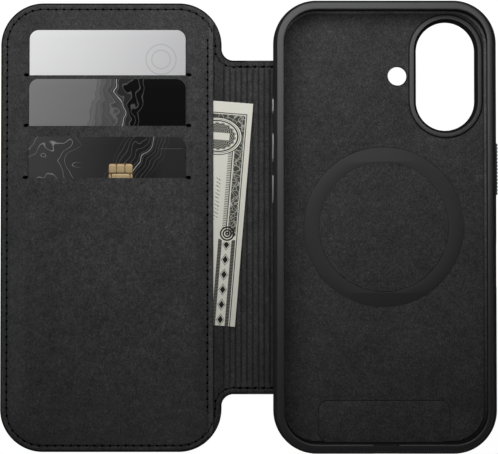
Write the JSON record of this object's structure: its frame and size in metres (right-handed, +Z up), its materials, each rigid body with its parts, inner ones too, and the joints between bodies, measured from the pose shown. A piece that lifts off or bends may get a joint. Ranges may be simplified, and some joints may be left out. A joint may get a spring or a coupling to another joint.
{
  "type": "phone wallet case",
  "caption": "Folding phone wallet case lying open: bumper tray with a magnet ring, ribbed spine, and a soft cover panel with card slits and a pocket for notes.",
  "frame": {"origin": "centre of the open case's bounding box, on the surface it lies on", "axes": "+X from the cover over the spine to the phone tray, +Y towards the camera end of the tray, +Z up, away from the leather outer face"},
  "size_m": [0.1714, 0.1554, 0.012],
  "materials": {
    "leather": "fine grained, semi-matt",
    "suede": "brushed microfibre, matt",
    "bumper_rubber": "moulded, satin",
    "shell_plastic": "matt",
    "floor_inlay": "smooth, satin",
    "fibreboard": "matt",
    "magnet": "plated",
    "button_metal": "satin",
    "card_silver": "satin",
    "card_grey": "satin",
    "card_graphite": "satin",
    "paper": "printed paper"
  },
  "bodies": {
    "tray": {"bumper_frame": "bumper_rubber", "tray_leather": "leather", "back_shell": "shell_plastic", "tray_lining": "suede", "tray_lining_disc": "suede", "magnet_ring_cover": "floor_inlay", "floor_patch": "floor_inlay", "camera_bezel": "bumper_rubber", "flash_bezel": "bumper_rubber", "alignment_magnet": "magnet", "ring_magnet_01": "magnet", "ring_magnet_02": "magnet", "ring_magnet_03": "magnet", "ring_magnet_04": "magnet", "ring_magnet_05": "magnet", "ring_magnet_06": "magnet", "ring_magnet_07": "magnet", "ring_magnet_08": "magnet", "ring_magnet_09": "magnet", "ring_magnet_10": "magnet", "ring_magnet_11": "magnet", "ring_magnet_12": "magnet", "ring_magnet_13": "magnet", "ring_magnet_14": "magnet", "ring_magnet_15": "magnet", "ring_magnet_16": "magnet"},
    "spine": {"spine_leather": "leather", "spine_interliner": "fibreboard", "spine_lining": "suede", "banknote_spine_part": "paper"},
    "cover": {"cover_leather": "leather", "cover_board": "fibreboard", "cover_lining": "suede", "pocket_backing": "suede", "pocket_face": "suede", "card_liner_1": "suede", "card_liner_2": "suede", "banknote_pocket_part": "paper"},
    "card_back": {"card_back": "card_silver"},
    "card_middle": {"card_middle": "card_grey"},
    "card_front": {"card_front": "card_graphite"},
    "action_button": {"action_button": "button_metal"},
    "volume_up_button": {"volume_up_button": "button_metal"},
    "volume_down_button": {"volume_down_button": "button_metal"},
    "power_button": {"power_button": "button_metal"}
  },
  "joints": [
    {"name": "spine_fold", "type": "hinge", "parent": "tray", "child": "spine", "pos_m": [0.00705, 0, 0.0015], "axis": [0, 1, 0], "range_deg": [0, 90]},
    {"name": "cover_fold", "type": "hinge", "parent": "spine", "child": "cover", "pos_m": [-0.00775, 0, 0.0015], "axis": [0, 1, 0], "range_deg": [0, 90]},
    {"name": "card_back_slide", "type": "slide", "parent": "cover", "child": "card_back", "axis": [0, 1, 0], "range_m": [0, 0.096]},
    {"name": "card_middle_slide", "type": "slide", "parent": "cover", "child": "card_middle", "axis": [0, 1, 0], "range_m": [0, 0.113]},
    {"name": "card_front_slide", "type": "slide", "parent": "cover", "child": "card_front", "axis": [0, 1, 0], "range_m": [0, 0.133]},
    {"name": "action_press", "type": "slide", "parent": "tray", "child": "action_button", "axis": [1, 0, 0], "range_m": [0, 0.00035], "stiffness_N_per_m": 8000},
    {"name": "volume_up_press", "type": "slide", "parent": "tray", "child": "volume_up_button", "axis": [1, 0, 0], "range_m": [0, 0.00035], "stiffness_N_per_m": 8000},
    {"name": "volume_down_press", "type": "slide", "parent": "tray", "child": "volume_down_button", "axis": [1, 0, 0], "range_m": [0, 0.00035], "stiffness_N_per_m": 8000},
    {"name": "power_press", "type": "slide", "parent": "tray", "child": "power_button", "axis": [-1, 0, 0], "range_m": [0, 0.00035], "stiffness_N_per_m": 8000}
  ]
}
